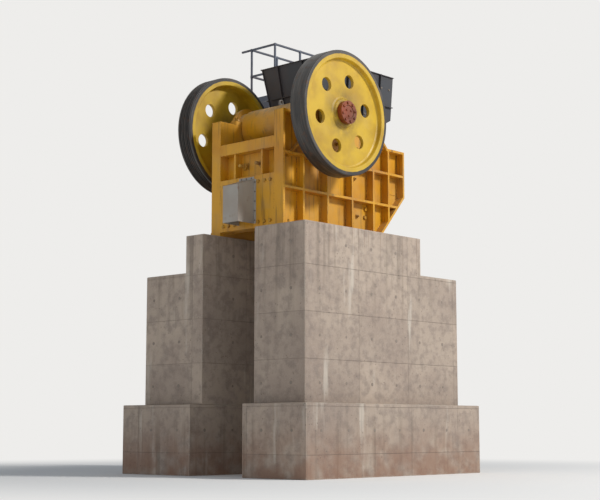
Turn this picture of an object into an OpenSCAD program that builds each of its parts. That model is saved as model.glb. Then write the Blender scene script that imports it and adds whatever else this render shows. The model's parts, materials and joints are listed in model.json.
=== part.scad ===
// Jaw crusher of the 750 x 1060 mm class on its two concrete piers.
// X runs from the toggle end towards the feed end, Y along the eccentric shaft
// from the side that faces the yard, Z up. The origin is the middle of the
// foundation's footprint at ground level. Lengths are in millimetres.

/* [Foundation] */
// Height of the piers from the ground to the crusher's base
pier_h = 3800; // [2800:50:4800]
// Rear ends of the piers, measured from the shaft
pier_rear_x = -1200; // [-1500:50:-1000]
// Front ends of the piers, measured from the shaft
pier_front_x = 2600; // [2300:50:3000]
// Half of the tunnel between the piers
tunnel_half = 570; // [500:10:590]
// Width of the near pier
near_pier_w = 1040; // [700:20:1400]
// Overall width of the far pier with its shelf
far_pier_w = 1340; // [1200:20:1600]
// Width of the raised plinth on the far pier
far_plinth_w = 400; // [380:10:500]
// Front end of the raised plinths
plinth_front_x = 1620; // [1560:20:1800]
// Drop from the plinths to the shelves
shelf_drop = 600; // [400:20:800]
// Height of the footings
footing_h = 1100; // [600:50:1600]
// How far the footings stand out past the piers
footing_out = 250; // [100:10:400]

/* [Frame] */
// Rear edge of the side walls
body_rear_x = -800; // [-900:10:-740]
// Front edge of the side walls
body_front_x = 2250; // [2100:10:2400]
// Clearance between the jaw plates and the cheek plates
side_gap = 5; // [3:1:10]
// Thickness of the cheek plates
cheek_t = 70; // [50:5:90]
// Thickness of the side walls
wall_t = 60; // [40:5:80]
// How far the ribs stand out from the side walls
rib_out = 140; // [100:10:160]
// Thickness of the ribs and edge flanges
rib_t = 40; // [25:5:50]
// Height of the side walls
wall_h = 1900; // [1700:10:2100]
// How far the low front end of the side walls lies below their top
brow_drop = 250; // [200:10:350]
// Height where the sloping lower front corner ends
chin_z = 850; // [700:10:1000]
// Front end of the base
base_front_x = 1500; // [1440:10:1550]
// Thickness of the base flange
base_t = 50; // [30:5:70]
// How far the base flange stands out from the side walls
base_out = 240; // [200:10:280]

/* [Shaft and flywheels] */
// How far the shaft lies below the top of the side walls
shaft_drop = 40; // [20:5:60]
// Diameter of the shaft in the bearings
journal_d = 280; // [240:10:320]
// Diameter of the shaft in the wheels
shaft_end_d = 220; // [180:10:230]
// Diameter of the flywheels
wheel_d = 2000; // [1800:20:2100]
// Width of the flywheels
wheel_w = 300; // [240:10:340]
// Clearance between the bearing covers and the hubs
hub_gap = 60; // [40:5:90]
// Depth of the flywheels' rims
rim_t = 130; // [90:5:160]
// Thickness of the flywheels' webs
web_t = 60; // [40:5:80]
// How far the webs lie behind the rims' outer edges
web_recess = 80; // [50:5:100]
// Diameter of the hubs
hub_d = 460; // [400:10:520]
// Diameter of the clamping rings on the shaft's ends
ring_d = 370; // [320:10:390]
// Number of holes in each web
web_holes = 6; // [4:1:8]
// Diameter of the web's holes
web_hole_d = 220; // [160:10:260]
// Diameter of the circle on which the web's holes lie
web_hole_pcd = 1120; // [1000:10:1180]
// How far the wheels are turned at rest
wheel_phase = 14; // [0:1:59]

/* [Jaws] */
// Clear opening between the jaws at the top
gape = 750; // [700:10:780]
// Clear opening between the jaws at the bottom
setting = 110; // [80:5:140]
// Thickness of the jaw plates with their teeth
jaw_t = 100; // [80:5:120]
// Height of the teeth
tooth_h = 38; // [20:2:45]
// Number of teeth across the fixed jaw plate
teeth = 10; // [6:1:14]
// Width of the jaw plates
jaw_w = 1050; // [950:10:1180]
// Radius of the swing jaw's head
head_r = 340; // [320:5:360]

/* [Feed chute] */
// Height of the chute's top edge above the side walls
chute_h = 1080; // [700:20:1200]
// How much further out the chute's sides are at the top than at the bottom
chute_flare = 90; // [50:5:120]
// Thickness of the chute's plates
chute_t = 12; // [8:1:20]
// Rear edge of the chute at its top
chute_rear_x = 220; // [180:10:320]
// Front edge of the chute
chute_front_x = 2150; // [2000:10:2300]

/* [Walkway] */
// Height of the deck above the side walls
deck_h = 930; // [600:10:1000]
// Rear end of the deck
deck_rear_x = 1400; // [1350:10:1600]
// Front end of the deck
deck_front_x = 2800; // [2600:10:2840]
// Inner edge of the deck
deck_in_y = 1470; // [1450:10:1500]
// Width of the deck
deck_w = 640; // [500:20:800]
// How far the top rail of the end reaches past the deck as a grab rail
grab_out = 220; // [100:20:400]
// Height of the handrail above the deck
rail_h = 1050; // [900:10:1200]
// Diameter of the handrail's tubes
tube_d = 42; // [34:2:60]

/* [Hidden] */
$fn = 96;

yellow = "#dda51f";
dark_rim = "#2b2a2b";
chute_grey = "#3a3638";
concrete = "#b0a292";
steel = "#6f6f70";
rail_grey = "#4a5260";

// Running clearance of the shaft, and the gap that keeps fitted pieces apart
run_gap = 0.05;
seat_gap = 0.3;

// How far joined pieces sink into each other, how far a cut reaches past a face, and small chamfers
sink = 10;
over = 1;
chamfer = 10;

// Frame
wall_in = jaw_w / 2 + side_gap + cheek_t;
wall_out = wall_in + wall_t;
rib_y = wall_out + rib_out;
shaft_z = wall_h - shaft_drop;
brow_z = wall_h - brow_drop;
brow_run = 450;
brow_x = body_front_x - brow_run;
shoulder_run = 250;
shoulder_x = brow_x - shoulder_run;
side_outline = [[body_rear_x, 0], [base_front_x, 0], [body_front_x, chin_z],
    [body_front_x, brow_z], [brow_x, brow_z], [shoulder_x, wall_h], [body_rear_x, wall_h]];
upright_x = [for (share = [0.15, 0.34, 0.54, 0.72]) body_rear_x + share * (body_front_x - body_rear_x)];
level_z = [0.34 * wall_h, 0.63 * wall_h];
// Struts run from the bearing's ring to the upper level rib
strut_top_x = 250;
strut_low_x = 560;
flange_gap = 20;

// Foundation
far_out_y = tunnel_half + far_pier_w;
near_out_y = -tunnel_half - near_pier_w;
deck_out_y = deck_in_y + deck_w;
low_x = pier_rear_x - footing_out;
high_x = pier_front_x + footing_out;
low_y = near_out_y - footing_out;
high_y = max(far_out_y + footing_out, deck_out_y + grab_out);
shift = [-(low_x + high_x) / 2, -(low_y + high_y) / 2, pier_h];

// Rear wall: a box below, a recessed web and a beam above it
wall_low_z = 60;
box_top_z = 0.475 * wall_h;
beam_low_z = 0.69 * wall_h;
beam_top_z = 0.785 * wall_h;
recess = 180;
rear_web_x = body_rear_x + recess;
rear_depth = 240;
rear_in_x = body_rear_x + rear_depth;
rear_rib_in = 30;
pocket_w = 300;
rod_clear = 8;

// Bearings: the seat in the side wall, its ring, the barrel and the cover
seat_r = 320;
seat_ring_w = 80;
seat_ring_r = seat_r + seat_ring_w;
seat_ring_t = 60;
flange_t = 45;
flange_y = wall_out + seat_ring_t;
barrel_step = 18;
barrel_r = seat_r - barrel_step;
housing_out = 240;
housing_y = wall_out + housing_out;
cover_t = 60;
cover_steps = [2, 70, 110];
cap_step = 5;
boss_h = 25;
gusset_in = 25;
gusset_back = 15;
cap_half = 440;
cap_h = 70;
gusset_t = 30;
gussets = 8;
boss_r = 35;
boss_y = (flange_y + flange_t + housing_y) / 2;

// Jaws: places in x and z
front_wall_t = 80;
front_top_x = 1420;
front_top_drop = 40;
front_low_x = 1240;
front_low_z = 250;
front_face_top = [front_top_x, wall_h - front_top_drop];
front_face_low = [front_low_x, front_low_z];
jaw_top_drop = 200;
jaw_top_z = wall_h - jaw_top_drop;
jaw_low_z = front_face_low[1];
function front_x(z) = front_face_low[0] + (front_face_top[0] - front_face_low[0])
    * (z - front_face_low[1]) / (front_face_top[1] - front_face_low[1]);
front_ribs = 5;
front_rib_margin = 50;
front_rib_z = [for (i = [0 : front_ribs - 1]) jaw_low_z + front_rib_margin
    + i * (brow_z - 2 * front_rib_margin - jaw_low_z) / (front_ribs - 1)];
front_rib_in = 60;
front_upright_y = 400;
cheek_drop = 60;
cheek_back = 60;
plate_short = 40;
fixed_tilt = atan((front_face_top[0] - front_face_low[0]) / (front_face_top[1] - front_face_low[1]));
swing_top = [front_x(jaw_top_z) - jaw_t - gape, jaw_top_z];
swing_low = [front_x(jaw_low_z) - jaw_t - setting, jaw_low_z];
swing_tilt = atan((swing_top[0] - swing_low[0]) / (swing_top[1] - swing_low[1]));
swing_len = norm(swing_top - swing_low);
swing_up = [sin(swing_tilt), cos(swing_tilt)];
swing_back = [-cos(swing_tilt), sin(swing_tilt)];
swing_back_low = swing_low + jaw_t * swing_back;
swing_back_top = swing_top + jaw_t * swing_back;
swing_narrow = 50;
swing_w = jaw_w - swing_narrow;
head_gap = 20;
head_w = 2 * (wall_in - head_gap);
swing_face_t = 90;
swing_rib_t = 60;
swing_ribs = 4;
lift_r = 50;
lift_t = 30;
wedge_h = 60;
wedge_edge = 25;
crown_h = wedge_h + sink;
// Corners of the swing jaw's back, from the head down
back_top_x = 250;
back_top_rise = 200;
back_top = [back_top_x, shaft_z + back_top_rise];
back_head_x = -300;
back_head_drop = 140;
back_head = [back_head_x, shaft_z - back_head_drop];
back_neck_x = -60;
back_neck = [back_neck_x, 0.7 * wall_h];
back_knee_x = 340;
back_knee = [back_knee_x, 0.475 * wall_h];

// Toggle plate, and the tension rod with its eye, pin and spring
toggle_front_x = 590;
toggle_front_z = 430;
toggle_front = [toggle_front_x, toggle_front_z];
toggle_rear_x = -330;
toggle_rear_z = 600;
toggle_rear = [toggle_rear_x, toggle_rear_z];
toggle_r = 55;
toggle_narrow = 70;
toggle_half = swing_w / 2 - toggle_narrow;
toggle_seat = 40;
toggle_block_low = 140;
toggle_block_high = 160;
seat_rise = 130;
seat_fall = 100;
toe_x = 110;
toe_z = 250;
rod_r = 28;
rod_z = 290;
rod_out = 330;
rod_rear_x = body_rear_x - rod_out;
nut_r = 50;
eye_x = 490;
eye_at = [eye_x, rod_z];
lug_len = 160;
eye_gap = 2;
pin_head = 14;
pin_step = 12;
eye_r = 50;
pin_r = 22;
lug_in_y = 32;
lug_t = 25;
spring_r = 75;
spring_len = 220;
spring_turns = 5;
spring_wire = 13;
plate_t = 30;

// Hood of sheet over the spring
guard_half = 170;
guard_t = 8;
guard_out = 360;
guard_fall = 120;
guard_low_z = 130;
guard_gap = 60;
guard_top_z = box_top_z - guard_gap;

// Feed chute
chute_top_z = wall_h + chute_h;
foot_z = wall_h + chute_t;
chute_low_x = 470;
chute_seat = 40;
chute_low_y = wall_in - chute_seat;
foot_out = 60;
foot_end_out = 40;
foot_end_x = base_front_x + foot_end_out;
chute_lean = atan(chute_flare / (chute_top_z - foot_z));
slide_top_h = 430;
slide_low_h = 40;
slide_in = 20;
slide_top = [chute_front_x, wall_h + slide_top_h];
slide_low = [front_top_x + slide_in, wall_h + slide_low_h];
slide_seat = 100;
stiffener = 40;
rim_out = 25;
rim_bar_t = 10;
side_lip = 20;
plate_dip = 2;

// Walkway
deck_z = wall_h + deck_h;
deck_t = 6;
foot_t = 12;
post_s = 100;
post_in_y = 20;
post_edge = 140;
post_rear = 40;
post_front = 160;
post_y = [deck_in_y + post_in_y, min(far_out_y - post_edge, deck_out_y - post_s - post_in_y)];
post_x = [deck_rear_x + post_rear, pier_front_x - post_front];
plate_x = 50;
plate_y = 30;
frame_h = 120;
frame_t = 50;
brace_h = 380;
brace_t = 60;
tie_t = 10;
tie_w = 60;
tie_bays = 3;
tube_r = tube_d / 2;
rail_in = 25;
rail_y = [deck_in_y + rail_in, deck_out_y - rail_in];
rail_x = [deck_rear_x + rail_in, deck_front_x - rail_in];
rail_heights = [rail_h / 2, rail_h - tube_r];

// Rotor
fillet = 40;
hub_in = 100;
hub_step = 40;
hub_out = wheel_w - hub_step;
ring_out = 50;
ring_end = wheel_w + ring_out;
shaft_recess = 15;
wheel_in_y = housing_y + cover_t + hub_gap + hub_in;
groove_pitch = 38;
groove_top = 15;
groove_low = 8;
groove_depth = 25;
belt_grooves = 6;

// Draws its 2D children, x and z, as a solid between two places on Y
module across(y0, y1) {
    translate([0, y1, 0]) rotate([90, 0, 0]) linear_extrude(height = y1 - y0) children();
}

// A flat bar in 2D along the line from p to q, on its left, and as much longer at both ends as it is thick
module bar(p, q, t) {
    d = (q - p) / norm(q - p) * t;
    n = [-d[1], d[0]];
    polygon([p - d, q + d, q + d + n, p - d + n]);
}

// Draws its 2D children, y and z, as a solid between two places on X
module along(x0, x1) {
    translate([x0, 0, 0]) rotate([90, 0, 90]) linear_extrude(height = x1 - x0) children();
}

module site() { translate(shift) children(); }
module on_shaft() { translate([0, 0, shaft_z]) children(); }
// A round bar along Y
module bar_y(r, y0, y1) { translate([0, y1, 0]) rotate([90, 0, 0]) cylinder(h = y1 - y0, r = r); }
module far_side() { mirror([0, 1, 0]) children(); }

module block(x0, x1, y0, y1, z0, z1) {
    translate([x0, y0, z0]) cube([x1 - x0, y1 - y0, z1 - z0]);
}

// Foundation
module near_footing() {
    color(concrete) site()
        block(low_x, high_x, low_y, -tunnel_half, -pier_h, footing_h - pier_h);
}
module far_footing() {
    color(concrete) site()
        block(low_x, high_x, tunnel_half, far_out_y + footing_out, -pier_h, footing_h - pier_h);
}
module near_pier() {
    color(concrete) site() across(near_out_y, -tunnel_half)
        polygon([[pier_rear_x, footing_h - pier_h], [pier_front_x, footing_h - pier_h],
            [pier_front_x, -shelf_drop], [plinth_front_x, -shelf_drop],
            [plinth_front_x, 0], [pier_rear_x, 0]]);
}
module far_pier() {
    color(concrete) site() {
        block(pier_rear_x, pier_front_x, tunnel_half, far_out_y, footing_h - pier_h, -shelf_drop);
        block(pier_rear_x, plinth_front_x, tunnel_half, tunnel_half + far_plinth_w,
            -shelf_drop - 1, 0);
    }
}

// Side walls with their ribs, drawn for the near side
module side_ribs() {
    bar([body_rear_x, wall_h], [body_rear_x, base_t], rib_t);
    bar([base_front_x, 0], [body_front_x, chin_z], rib_t);
    bar([body_front_x, chin_z], [body_front_x, brow_z], rib_t);
    bar([body_front_x, brow_z], [brow_x, brow_z], rib_t);
    bar([brow_x, brow_z], [shoulder_x, wall_h], rib_t);
    bar([shoulder_x, wall_h], [seat_ring_r + flange_gap + rib_t, wall_h], rib_t);
    bar([-seat_ring_r - flange_gap - rib_t, wall_h], [body_rear_x, wall_h], rib_t);
    for (x = upright_x) translate([x, base_t - sink]) square([rib_t, level_z[1] - base_t + 2 * sink]);
    translate([brow_x, 0]) square([rib_t, brow_z]);
    for (z = level_z) translate([body_rear_x, z]) square([body_front_x - body_rear_x, rib_t]);
}
// Struts that carry the bearing's ring down to the upper level rib
module seat_struts() {
    drop = shaft_z - level_z[1] - rib_t / 2;
    for (side = [-1, 0, 1])
        bar([side * strut_top_x - rib_t / 2, shaft_z - seat_r - flange_gap],
            [side * strut_low_x - rib_t / 2, shaft_z - drop], rib_t);
}
module side_wall() {
    across(-wall_out, -wall_in) difference() {
        polygon(side_outline);
        translate([0, shaft_z]) circle(r = seat_r);
    }
    across(-flange_y, -wall_out) intersection() {
        translate([0, shaft_z]) difference() {
            circle(r = seat_ring_r);
            circle(r = seat_r);
        }
        translate([-seat_ring_r - over, 0]) square([2 * (seat_ring_r + over), wall_h]);
    }
    across(-rib_y, -wall_out) intersection() {
        polygon(side_outline);
        side_ribs();
    }
    across(-flange_y, -wall_out) difference() {
        seat_struts();
        translate([0, shaft_z]) circle(r = seat_r + 2 * chamfer);
    }
    across(-wall_out - base_out, -wall_out)
        polygon([[body_rear_x, 0], [base_front_x, 0], [base_front_x + base_t, base_t],
            [body_rear_x, base_t]]);
}
module near_side_wall() { color(yellow) site() side_wall(); }
module far_side_wall() { color(yellow) site() far_side() side_wall(); }

// Front wall: a sloping plate with deep horizontal and upright ribs
module front_wall() {
    rib_x = body_front_x - front_rib_in;
    low_z = front_rib_z[0];
    high_z = front_rib_z[front_ribs - 1] + rib_t;
    color(yellow) site() {
        across(-wall_in, wall_in) intersection() {
            polygon(side_outline);
            union() {
                polygon([front_face_low, front_face_top,
                    front_face_top + [front_wall_t, 0], front_face_low + [front_wall_t, 0]]);
                for (z = front_rib_z)
                    translate([front_x(z) + front_wall_t / 2, z]) square([rib_x - front_x(z), rib_t]);
            }
        }
        for (y = [-front_upright_y, 0, front_upright_y]) across(y - rib_t / 2, y + rib_t / 2) intersection() {
            polygon(side_outline);
            polygon([[front_x(low_z) + sink, low_z], [rib_x, low_z],
                [rib_x, high_z], [front_x(high_z) + sink, high_z]]);
        }
    }
}

// Rear wall: box below, recessed web with two upright ribs, and the top beam
module rear_wall() {
    color(yellow) site() difference() {
        union() {
            across(-wall_in, wall_in)
                polygon([[body_rear_x, wall_low_z], [rear_in_x, wall_low_z], [rear_in_x, beam_top_z],
                    [body_rear_x, beam_top_z], [body_rear_x, beam_low_z], [rear_web_x, beam_low_z],
                    [rear_web_x, box_top_z], [body_rear_x, box_top_z]]);
            for (side = [-1, 1])
                block(body_rear_x + rear_rib_in, rear_web_x + sink, side * pocket_w - rib_t / 2,
                    side * pocket_w + rib_t / 2, box_top_z - sink, beam_low_z + sink);
        }
        translate([body_rear_x - over, 0, rod_z]) rotate([0, 90, 0])
            cylinder(h = rear_depth + 2 * over, r = rod_r + rod_clear);
    }
}

// Bearings
module bearing_housing() {
    difference() {
        union() {
            on_shaft() {
                bar_y(seat_r - seat_gap, -flange_y - cap_step, -wall_in);
                bar_y(seat_ring_r, -flange_y - flange_t, -flange_y);
                bar_y(barrel_r, -housing_y, -wall_in);
                for (i = [0 : gussets - 1]) rotate([0, (i + 0.5) * 360 / gussets, 0])
                    translate([0, 0, -gusset_t / 2]) linear_extrude(height = gusset_t)
                        polygon([[barrel_r - 2 * sink, -flange_y - sink],
                            [seat_ring_r - gusset_back, -flange_y - sink],
                            [seat_ring_r - gusset_back, -flange_y - flange_t - gusset_back],
                            [barrel_r + cap_step, -housing_y + gusset_in],
                            [barrel_r - 2 * sink, -housing_y + gusset_in]]);
                translate([0, -boss_y, barrel_r - 2 * sink]) cylinder(h = boss_h + 2 * sink, r = boss_r);
            }
            block(-cap_half, cap_half, -flange_y + cap_step, -wall_in - cap_step, wall_h + seat_gap,
                wall_h + cap_h);
        }
        on_shaft() bar_y(journal_d / 2 + run_gap, -housing_y - over, -wall_in + over);
    }
}
module bearing_cover() {
    on_shaft() difference() {
        union() {
            bar_y(barrel_r - cover_steps[0], -housing_y - cover_t / 2, -housing_y);
            bar_y(barrel_r - cover_steps[1], -housing_y - cover_t + chamfer, -housing_y);
            bar_y(barrel_r - cover_steps[2], -housing_y - cover_t, -housing_y);
        }
        bar_y(journal_d / 2 + run_gap, -housing_y - cover_t - over, -housing_y + over);
    }
}
module near_bearing_housing() { color(yellow) site() bearing_housing(); }
module far_bearing_housing() { color(yellow) site() far_side() bearing_housing(); }
module near_bearing_cover() { color(yellow) site() bearing_cover(); }
module far_bearing_cover() { color(yellow) site() far_side() bearing_cover(); }

// Cheek plates line the side walls beside the jaws
module cheek_plate() {
    across(-wall_in, -wall_in + cheek_t)
        polygon([front_face_low, [front_x(wall_h - cheek_drop), wall_h - cheek_drop],
            [swing_top[0] - cheek_back, wall_h - cheek_drop], swing_top - [cheek_back, 0],
            swing_low - [cheek_back, 0]]);
}
module near_cheek_plate() { color(steel) site() cheek_plate(); }
module far_cheek_plate() { color(steel) site() far_side() cheek_plate(); }

// A jaw plate lying on X = 0 with its teeth towards +X, running up from Z = 0
module toothed_plate(len, count, start) {
    pitch = jaw_w / count;
    base = jaw_t - tooth_h;
    points = [for (i = [0 : count - 1]) each [
        [base, (i + start) * pitch - jaw_w / 2],
        [jaw_t, (i + start + 0.3) * pitch - jaw_w / 2],
        [jaw_t, (i + start + 0.5) * pitch - jaw_w / 2],
        [base, (i + start + 0.8) * pitch - jaw_w / 2]]];
    linear_extrude(height = len) intersection() {
        polygon(concat([[0, -jaw_w / 2], [base, -jaw_w / 2]], points, [[base, jaw_w / 2], [0, jaw_w / 2]]));
        translate([0, -jaw_w / 2]) square([jaw_t, jaw_w]);
    }
}
module fixed_jaw_plate() {
    len = (front_face_top[1] - front_face_low[1]) / cos(fixed_tilt);
    color(steel) site() translate([front_face_low[0], 0, front_face_low[1]])
        rotate([0, fixed_tilt, 0]) mirror([1, 0, 0]) translate([seat_gap, 0, 0])
            toothed_plate(len - plate_short, teeth, 0.1);
}
module swing_jaw_plate() {
    color(steel) site() translate([swing_back_low[0], 0, swing_back_low[1]])
        rotate([0, swing_tilt, 0]) translate([seat_gap, 0, 0]) toothed_plate(swing_len, teeth - 1, 0.55);
}

// Swing jaw: the head turns on the shaft, a face plate with ribs behind it carries the jaw plate
module swing_profile() {
    polygon([swing_back_low, swing_back_top, swing_back_top + crown_h * swing_up,
        back_top, back_head, back_neck, back_knee,
        toggle_front + [-toggle_seat, seat_rise], toggle_front - [toggle_seat, seat_fall],
        toggle_front + [toe_x, -toe_z]]);
}
module swing_jaw() {
    crown = swing_back_top + (crown_h + 2 * sink) * swing_up;
    chin = swing_back_low - 2 * sink * swing_up;
    color(yellow) site() difference() {
        union() {
            for (i = [0 : swing_ribs - 1])
                let (y = -swing_w / 2 + i * (swing_w - swing_rib_t) / (swing_ribs - 1))
                across(y, y + swing_rib_t) swing_profile();
            across(-swing_w / 2, swing_w / 2) intersection() {
                swing_profile();
                union() {
                    polygon([chin, crown, crown + swing_face_t * swing_back, chin + swing_face_t * swing_back]);
                    polygon([crown - [0, 4 * sink], crown, [0.6 * head_r, shaft_z + 0.9 * head_r],
                        [0.3 * head_r, shaft_z + 0.35 * head_r]]);
                    translate(toggle_front - [toggle_seat + sink, toe_z + sink])
                        square([toggle_seat + toe_x + 4 * sink, toe_z + seat_rise + 4 * sink]);
                }
            }
            on_shaft() bar_y(head_r, -head_w / 2, head_w / 2);
            for (side = [-1, 1])
                across(side * (lug_in_y + lug_t / 2) - lug_t / 2, side * (lug_in_y + lug_t / 2) + lug_t / 2) {
                    translate(eye_at) circle(r = eye_r);
                    translate(eye_at - [0, 0.9 * eye_r]) square([lug_len, 1.8 * eye_r]);
                }
        }
        across(-swing_w / 2 - over, swing_w / 2 + over) {
            translate(toggle_front) circle(r = toggle_r);
            translate(toggle_front) rotate(170) translate([0, -0.93 * toggle_r])
                square([4 * toggle_r, 1.86 * toggle_r]);
        }
        on_shaft() bar_y(journal_d / 2 + run_gap, -head_w / 2 - over, head_w / 2 + over);
        translate([eye_x, 0, rod_z])
            bar_y(pin_r + run_gap, -lug_in_y - lug_t - over, lug_in_y + lug_t + over);
    }
}
// Wedge that holds the swing jaw plate down
module swing_jaw_wedge() {
    color(steel) site() across(-swing_w / 2 + 2 * chamfer, swing_w / 2 - 2 * chamfer)
        translate(swing_back_top + seat_gap * swing_up - seat_gap * swing_back) rotate(-swing_tilt)
            polygon([[0, 0], [jaw_t - tooth_h, 0], [jaw_t - tooth_h, wedge_edge], [wedge_edge, wedge_h],
                [0, wedge_h]]);
}
module lifting_eye() {
    color(steel) site() on_shaft() translate([0, 0, head_r])
        across(-lift_t / 2, lift_t / 2) difference() {
            union() {
                translate([0, 1.1 * lift_r]) circle(r = lift_r);
                translate([-lift_r, seat_gap]) square([2 * lift_r, 1.1 * lift_r]);
            }
            translate([0, 1.2 * lift_r]) circle(r = lift_r / 2);
        }
}

// Toggle plate and the block that it bears on
module toggle_plate() {
    d = toggle_front - toggle_rear;
    color(steel) site() across(-toggle_half, toggle_half) {
        translate(toggle_front) circle(r = toggle_r - seat_gap);
        translate(toggle_rear) circle(r = toggle_r - seat_gap);
        translate(toggle_rear) rotate(atan2(d[1], d[0])) translate([0, -0.8 * toggle_r])
            square([norm(d), 1.6 * toggle_r]);
    }
}
module toggle_block() {
    low = toggle_rear - [0, toggle_block_low];
    high = toggle_rear + [0, toggle_block_high];
    color(steel) site() across(-toggle_half - head_gap, toggle_half + head_gap) difference() {
        polygon([[rear_in_x, low[1]], low, high, [rear_in_x, high[1]]]);
        translate(toggle_rear) circle(r = toggle_r);
    }
}

// Tension rod: an eye on a pin between the swing jaw's lugs, a spring behind the rear wall
module tension_rod() {
    color(steel) site() {
        difference() {
            union() {
                translate([rod_rear_x, 0, rod_z]) rotate([0, 90, 0])
                    cylinder(h = eye_x - pin_r - rod_clear - rod_rear_x, r = rod_r);
                translate([eye_x, 0, rod_z]) bar_y(eye_r - eye_gap, -lug_in_y + eye_gap, lug_in_y - eye_gap);
            }
            translate([eye_x, 0, rod_z]) bar_y(pin_r + run_gap, -lug_in_y, lug_in_y);
        }
        translate([body_rear_x - plate_t - spring_len - plate_t, 0, rod_z]) rotate([0, 90, 0])
            cylinder(h = plate_t, r = spring_r + pin_step);
        translate([body_rear_x - plate_t - spring_len - 3 * plate_t, 0, rod_z]) rotate([0, 90, 0])
            cylinder(h = 2 * plate_t, r = nut_r, $fn = 6);
    }
}
module rod_pin() {
    end = lug_in_y + lug_t + seat_gap;
    color(steel) site() translate([eye_x, 0, rod_z]) {
        bar_y(pin_r, -end - over, end + over);
        bar_y(pin_r + pin_step, -end - pin_head, -end);
        bar_y(pin_r + pin_step, end, end + pin_head);
    }
}
// A coil spring on Z: its wire's rings follow a helix
module coil(r, wire, len, turns, sides, steps) {
    rings = turns * steps;
    points = [for (i = [0 : rings], j = [0 : sides - 1])
        let (a = i * 360 / steps, b = j * 360 / sides, c = r + wire * cos(b))
        [c * cos(a), c * sin(a), wire + (len - 2 * wire) * i / rings + wire * sin(b)]];
    walls = [for (i = [0 : rings - 1], j = [0 : sides - 1])
        let (k = (j + 1) % sides)
        [i * sides + j, i * sides + k, (i + 1) * sides + k, (i + 1) * sides + j]];
    ends = [[for (j = [sides - 1 : -1 : 0]) j], [for (j = [0 : sides - 1]) rings * sides + j]];
    polyhedron(points = points, faces = concat(walls, ends), convexity = 6);
}
module tension_spring() {
    color(steel) site() translate([body_rear_x - plate_t - spring_len, 0, rod_z]) rotate([0, 90, 0])
        coil(spring_r - spring_wire, spring_wire, spring_len, spring_turns, 8, 16);
}
module spring_seat() {
    color(steel) site() translate([body_rear_x - plate_t, 0, rod_z]) rotate([0, 90, 0]) difference() {
        cylinder(h = plate_t, r = spring_r + 2 * pin_step);
        translate([0, 0, -over]) cylinder(h = plate_t + 2 * over, r = rod_r + rod_clear / 2);
    }
}
// A hood of grey sheet over the spring, open below
module spring_guard() {
    top = guard_top_z - guard_fall;
    color("#9a9690") site() difference() {
        across(-guard_half, guard_half)
            polygon([[body_rear_x, guard_low_z], [body_rear_x, guard_top_z],
                [body_rear_x - guard_out, top], [body_rear_x - guard_out, guard_low_z]]);
        across(-guard_half + guard_t, guard_half - guard_t)
            polygon([[body_rear_x + over, guard_low_z - over], [body_rear_x + over, guard_top_z - guard_t],
                [body_rear_x - guard_out + guard_t, top - guard_t],
                [body_rear_x - guard_out + guard_t, guard_low_z - over]]);
    }
}

// Feed chute: plates with flat bars outside and a rim
module chute_outline(h) {
    up = 1 / cos(chute_lean);
    polygon([[chute_rear_x - side_lip, h], [chute_front_x, h],
        [chute_front_x, (slide_top[1] - foot_z - slide_seat) * up], [foot_end_x + side_lip, 0],
        [chute_low_x - side_lip, 0]]);
}
module chute_side() {
    h = (chute_top_z - foot_z) / cos(chute_lean);
    span = chute_front_x - chute_low_x;
    long = chute_front_x - chute_rear_x;
    translate([0, -chute_low_y, foot_z - plate_dip]) rotate([chute_lean, 0, 0]) {
        across(0, chute_t) chute_outline(h);
        across(-stiffener, over) intersection() {
            chute_outline(h);
            union() {
                for (i = [0 : 3])
                    translate([chute_low_x + (i + 0.12) * span / 4, -over]) square([chute_t, h + 2 * over]);
                translate([chute_rear_x - 2 * side_lip, h / 2]) square([long + 4 * side_lip, chute_t]);
            }
        }
        across(-rim_out, over)
            translate([chute_rear_x - side_lip, h - rim_bar_t]) square([long + side_lip, rim_bar_t]);
    }
    block(chute_low_x - side_lip / 2, foot_end_x, -wall_out - foot_out, -chute_low_y + chute_t, wall_h, foot_z);
}
module chute_near_wall() { color(chute_grey) site() chute_side(); }
module chute_far_wall() { color(chute_grey) site() far_side() chute_side(); }

// Half of the clear width inside the chute's side walls at a height
function chute_half(z) = chute_low_y + (z - foot_z) * tan(chute_lean) - chute_t / cos(chute_lean) - seat_gap;
// A plate between the side walls, from a low edge to a top edge in x and z, and with bars behind it if asked
module chute_plate(low, top, t, bars) {
    lean = atan2(top[0] - low[0], top[1] - low[1]);
    under = max(0, t * sin(lean));
    low_half = chute_half(low[1] - under);
    top_half = chute_half(top[1] - under);
    long = norm(top - low);
    translate([low[0], 0, low[1]]) rotate([0, lean, 0]) {
        along(0, t)
            polygon([[-low_half, 0], [low_half, 0], [top_half, long], [-top_half, long]]);
        if (bars) {
            rim_half = chute_half(top[1] - rim_out);
            along(-rim_out, over) translate([-rim_half, long - rim_bar_t]) square([2 * rim_half, rim_bar_t]);
            for (side = [-1, 1])
                along(-stiffener, over) translate([side * low_half / 2 - t / 2, 0]) square([t, long]);
            along(-stiffener, over) translate([-low_half, long / 2]) square([2 * low_half, t]);
        }
    }
}
module chute_rear_wall() {
    color(chute_grey) site() chute_plate([chute_low_x, foot_z], [chute_rear_x, chute_top_z], chute_t, true);
}
module chute_slide() { color(chute_grey) site() chute_plate(slide_low, slide_top, chute_t, false); }

// Flat ties in 2D between two posts that stand from u0 to u1: a strut and a slope in each bay
module ties(u0, u1, low, high) {
    bay = (high - low) / tie_bays;
    for (i = [0 : tie_bays - 1]) {
        z = low + i * bay;
        translate([u0 - 2 * sink, z]) square([u1 - u0 + 4 * sink, tie_w]);
        bar(i % 2 == 0 ? [u0, z + tie_w / 2] : [u0, z + bay], i % 2 == 0 ? [u1, z + bay] : [u1, z + tie_w / 2],
            tie_w);
    }
}

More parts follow.
